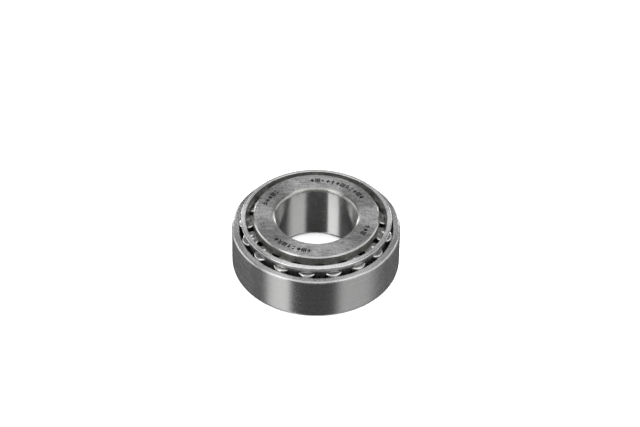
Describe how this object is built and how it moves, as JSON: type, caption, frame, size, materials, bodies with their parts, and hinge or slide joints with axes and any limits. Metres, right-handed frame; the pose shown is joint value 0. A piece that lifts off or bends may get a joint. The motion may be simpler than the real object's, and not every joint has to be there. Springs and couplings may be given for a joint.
{
  "type": "tapered roller bearing",
  "caption": "Single-row tapered roller bearing: outer ring, inner ring with ribs, pressed window cage and tapered rollers that roll between two conical raceways.",
  "frame": {"origin": "on the bearing's axis, at the outer ring's back face, which is level with the inner ring's front face", "axes": "+Z along the axis towards the inner ring's back face (its large-rib end), +X through roller_01"},
  "size_m": [0.042, 0.042, 0.015],
  "materials": {
    "ring_steel": "fine ground bearing steel",
    "roller_steel": "superfinished bearing steel",
    "cage_steel": "satin pressed sheet steel with a bright sheared rim"
  },
  "bodies": {
    "outer_ring": {"outer_ring": "ring_steel"},
    "inner_ring": {"inner_ring": "ring_steel"},
    "cage": {"cage": "cage_steel"},
    "roller_01": {"roller_01": "roller_steel"},
    "roller_02": {"roller_02": "roller_steel"},
    "roller_03": {"roller_03": "roller_steel"},
    "roller_04": {"roller_04": "roller_steel"},
    "roller_05": {"roller_05": "roller_steel"},
    "roller_06": {"roller_06": "roller_steel"},
    "roller_07": {"roller_07": "roller_steel"},
    "roller_08": {"roller_08": "roller_steel"},
    "roller_09": {"roller_09": "roller_steel"},
    "roller_10": {"roller_10": "roller_steel"},
    "roller_11": {"roller_11": "roller_steel"},
    "roller_12": {"roller_12": "roller_steel"},
    "roller_13": {"roller_13": "roller_steel"},
    "roller_14": {"roller_14": "roller_steel"},
    "roller_15": {"roller_15": "roller_steel"},
    "roller_16": {"roller_16": "roller_steel"},
    "roller_17": {"roller_17": "roller_steel"}
  },
  "joints": [
    {"name": "inner_ring_spin", "type": "hinge", "parent": "outer_ring", "child": "inner_ring", "pos_m": [0, 0, 0.0075], "axis": [0, 0, 1], "continuous": true},
    {"name": "cage_orbit", "type": "hinge", "parent": "outer_ring", "child": "cage", "pos_m": [0, 0, 0.0075], "axis": [0, 0, 1], "continuous": true},
    {"name": "roller_01_spin", "type": "hinge", "parent": "cage", "child": "roller_01", "pos_m": [0.01591, 0, 0.00758], "axis": [0.212, 0, 0.9773], "continuous": true},
    {"name": "roller_02_spin", "type": "hinge", "parent": "cage", "child": "roller_02", "pos_m": [0.01483, 0.00575, 0.00758], "axis": [0.1977, 0.0766, 0.9773], "continuous": true},
    {"name": "roller_03_spin", "type": "hinge", "parent": "cage", "child": "roller_03", "pos_m": [0.01176, 0.01072, 0.00758], "axis": [0.1567, 0.1429, 0.9773], "continuous": true},
    {"name": "roller_04_spin", "type": "hinge", "parent": "cage", "child": "roller_04", "pos_m": [0.00709, 0.01424, 0.00758], "axis": [0.0945, 0.1898, 0.9773], "continuous": true},
    {"name": "roller_05_spin", "type": "hinge", "parent": "cage", "child": "roller_05", "pos_m": [0.00147, 0.01584, 0.00758], "axis": [0.0196, 0.2111, 0.9773], "continuous": true},
    {"name": "roller_06_spin", "type": "hinge", "parent": "cage", "child": "roller_06", "pos_m": [-0.00435, 0.0153, 0.00758], "axis": [-0.058, 0.2039, 0.9773], "continuous": true},
    {"name": "roller_07_spin", "type": "hinge", "parent": "cage", "child": "roller_07", "pos_m": [-0.00959, 0.01269, 0.00758], "axis": [-0.1278, 0.1692, 0.9773], "continuous": true},
    {"name": "roller_08_spin", "type": "hinge", "parent": "cage", "child": "roller_08", "pos_m": [-0.01352, 0.00837, 0.00758], "axis": [-0.1803, 0.1116, 0.9773], "continuous": true},
    {"name": "roller_09_spin", "type": "hinge", "parent": "cage", "child": "roller_09", "pos_m": [-0.01564, 0.00292, 0.00758], "axis": [-0.2084, 0.039, 0.9773], "continuous": true},
    {"name": "roller_10_spin", "type": "hinge", "parent": "cage", "child": "roller_10", "pos_m": [-0.01564, -0.00292, 0.00758], "axis": [-0.2084, -0.039, 0.9773], "continuous": true},
    {"name": "roller_11_spin", "type": "hinge", "parent": "cage", "child": "roller_11", "pos_m": [-0.01352, -0.00837, 0.00758], "axis": [-0.1803, -0.1116, 0.9773], "continuous": true},
    {"name": "roller_12_spin", "type": "hinge", "parent": "cage", "child": "roller_12", "pos_m": [-0.00959, -0.01269, 0.00758], "axis": [-0.1278, -0.1692, 0.9773], "continuous": true},
    {"name": "roller_13_spin", "type": "hinge", "parent": "cage", "child": "roller_13", "pos_m": [-0.00435, -0.0153, 0.00758], "axis": [-0.058, -0.2039, 0.9773], "continuous": true},
    {"name": "roller_14_spin", "type": "hinge", "parent": "cage", "child": "roller_14", "pos_m": [0.00147, -0.01584, 0.00758], "axis": [0.0196, -0.2111, 0.9773], "continuous": true},
    {"name": "roller_15_spin", "type": "hinge", "parent": "cage", "child": "roller_15", "pos_m": [0.00709, -0.01424, 0.00758], "axis": [0.0945, -0.1898, 0.9773], "continuous": true},
    {"name": "roller_16_spin", "type": "hinge", "parent": "cage", "child": "roller_16", "pos_m": [0.01176, -0.01072, 0.00758], "axis": [0.1567, -0.1429, 0.9773], "continuous": true},
    {"name": "roller_17_spin", "type": "hinge", "parent": "cage", "child": "roller_17", "pos_m": [0.01483, -0.00575, 0.00758], "axis": [0.1977, -0.0766, 0.9773], "continuous": true}
  ],
  "couplings": [
    {"joint": "cage_orbit", "follows": "inner_ring_spin", "ratio": 0.42927},
    {"joint": "roller_01_spin", "follows": "inner_ring_spin", "ratio": -3.385},
    {"joint": "roller_02_spin", "follows": "inner_ring_spin", "ratio": -3.385},
    {"joint": "roller_03_spin", "follows": "inner_ring_spin", "ratio": -3.385},
    {"joint": "roller_04_spin", "follows": "inner_ring_spin", "ratio": -3.385},
    {"joint": "roller_05_spin", "follows": "inner_ring_spin", "ratio": -3.385},
    {"joint": "roller_06_spin", "follows": "inner_ring_spin", "ratio": -3.385},
    {"joint": "roller_07_spin", "follows": "inner_ring_spin", "ratio": -3.385},
    {"joint": "roller_08_spin", "follows": "inner_ring_spin", "ratio": -3.385},
    {"joint": "roller_09_spin", "follows": "inner_ring_spin", "ratio": -3.385},
    {"joint": "roller_10_spin", "follows": "inner_ring_spin", "ratio": -3.385},
    {"joint": "roller_11_spin", "follows": "inner_ring_spin", "ratio": -3.385},
    {"joint": "roller_12_spin", "follows": "inner_ring_spin", "ratio": -3.385},
    {"joint": "roller_13_spin", "follows": "inner_ring_spin", "ratio": -3.385},
    {"joint": "roller_14_spin", "follows": "inner_ring_spin", "ratio": -3.385},
    {"joint": "roller_15_spin", "follows": "inner_ring_spin", "ratio": -3.385},
    {"joint": "roller_16_spin", "follows": "inner_ring_spin", "ratio": -3.385},
    {"joint": "roller_17_spin", "follows": "inner_ring_spin", "ratio": -3.385}
  ]
}
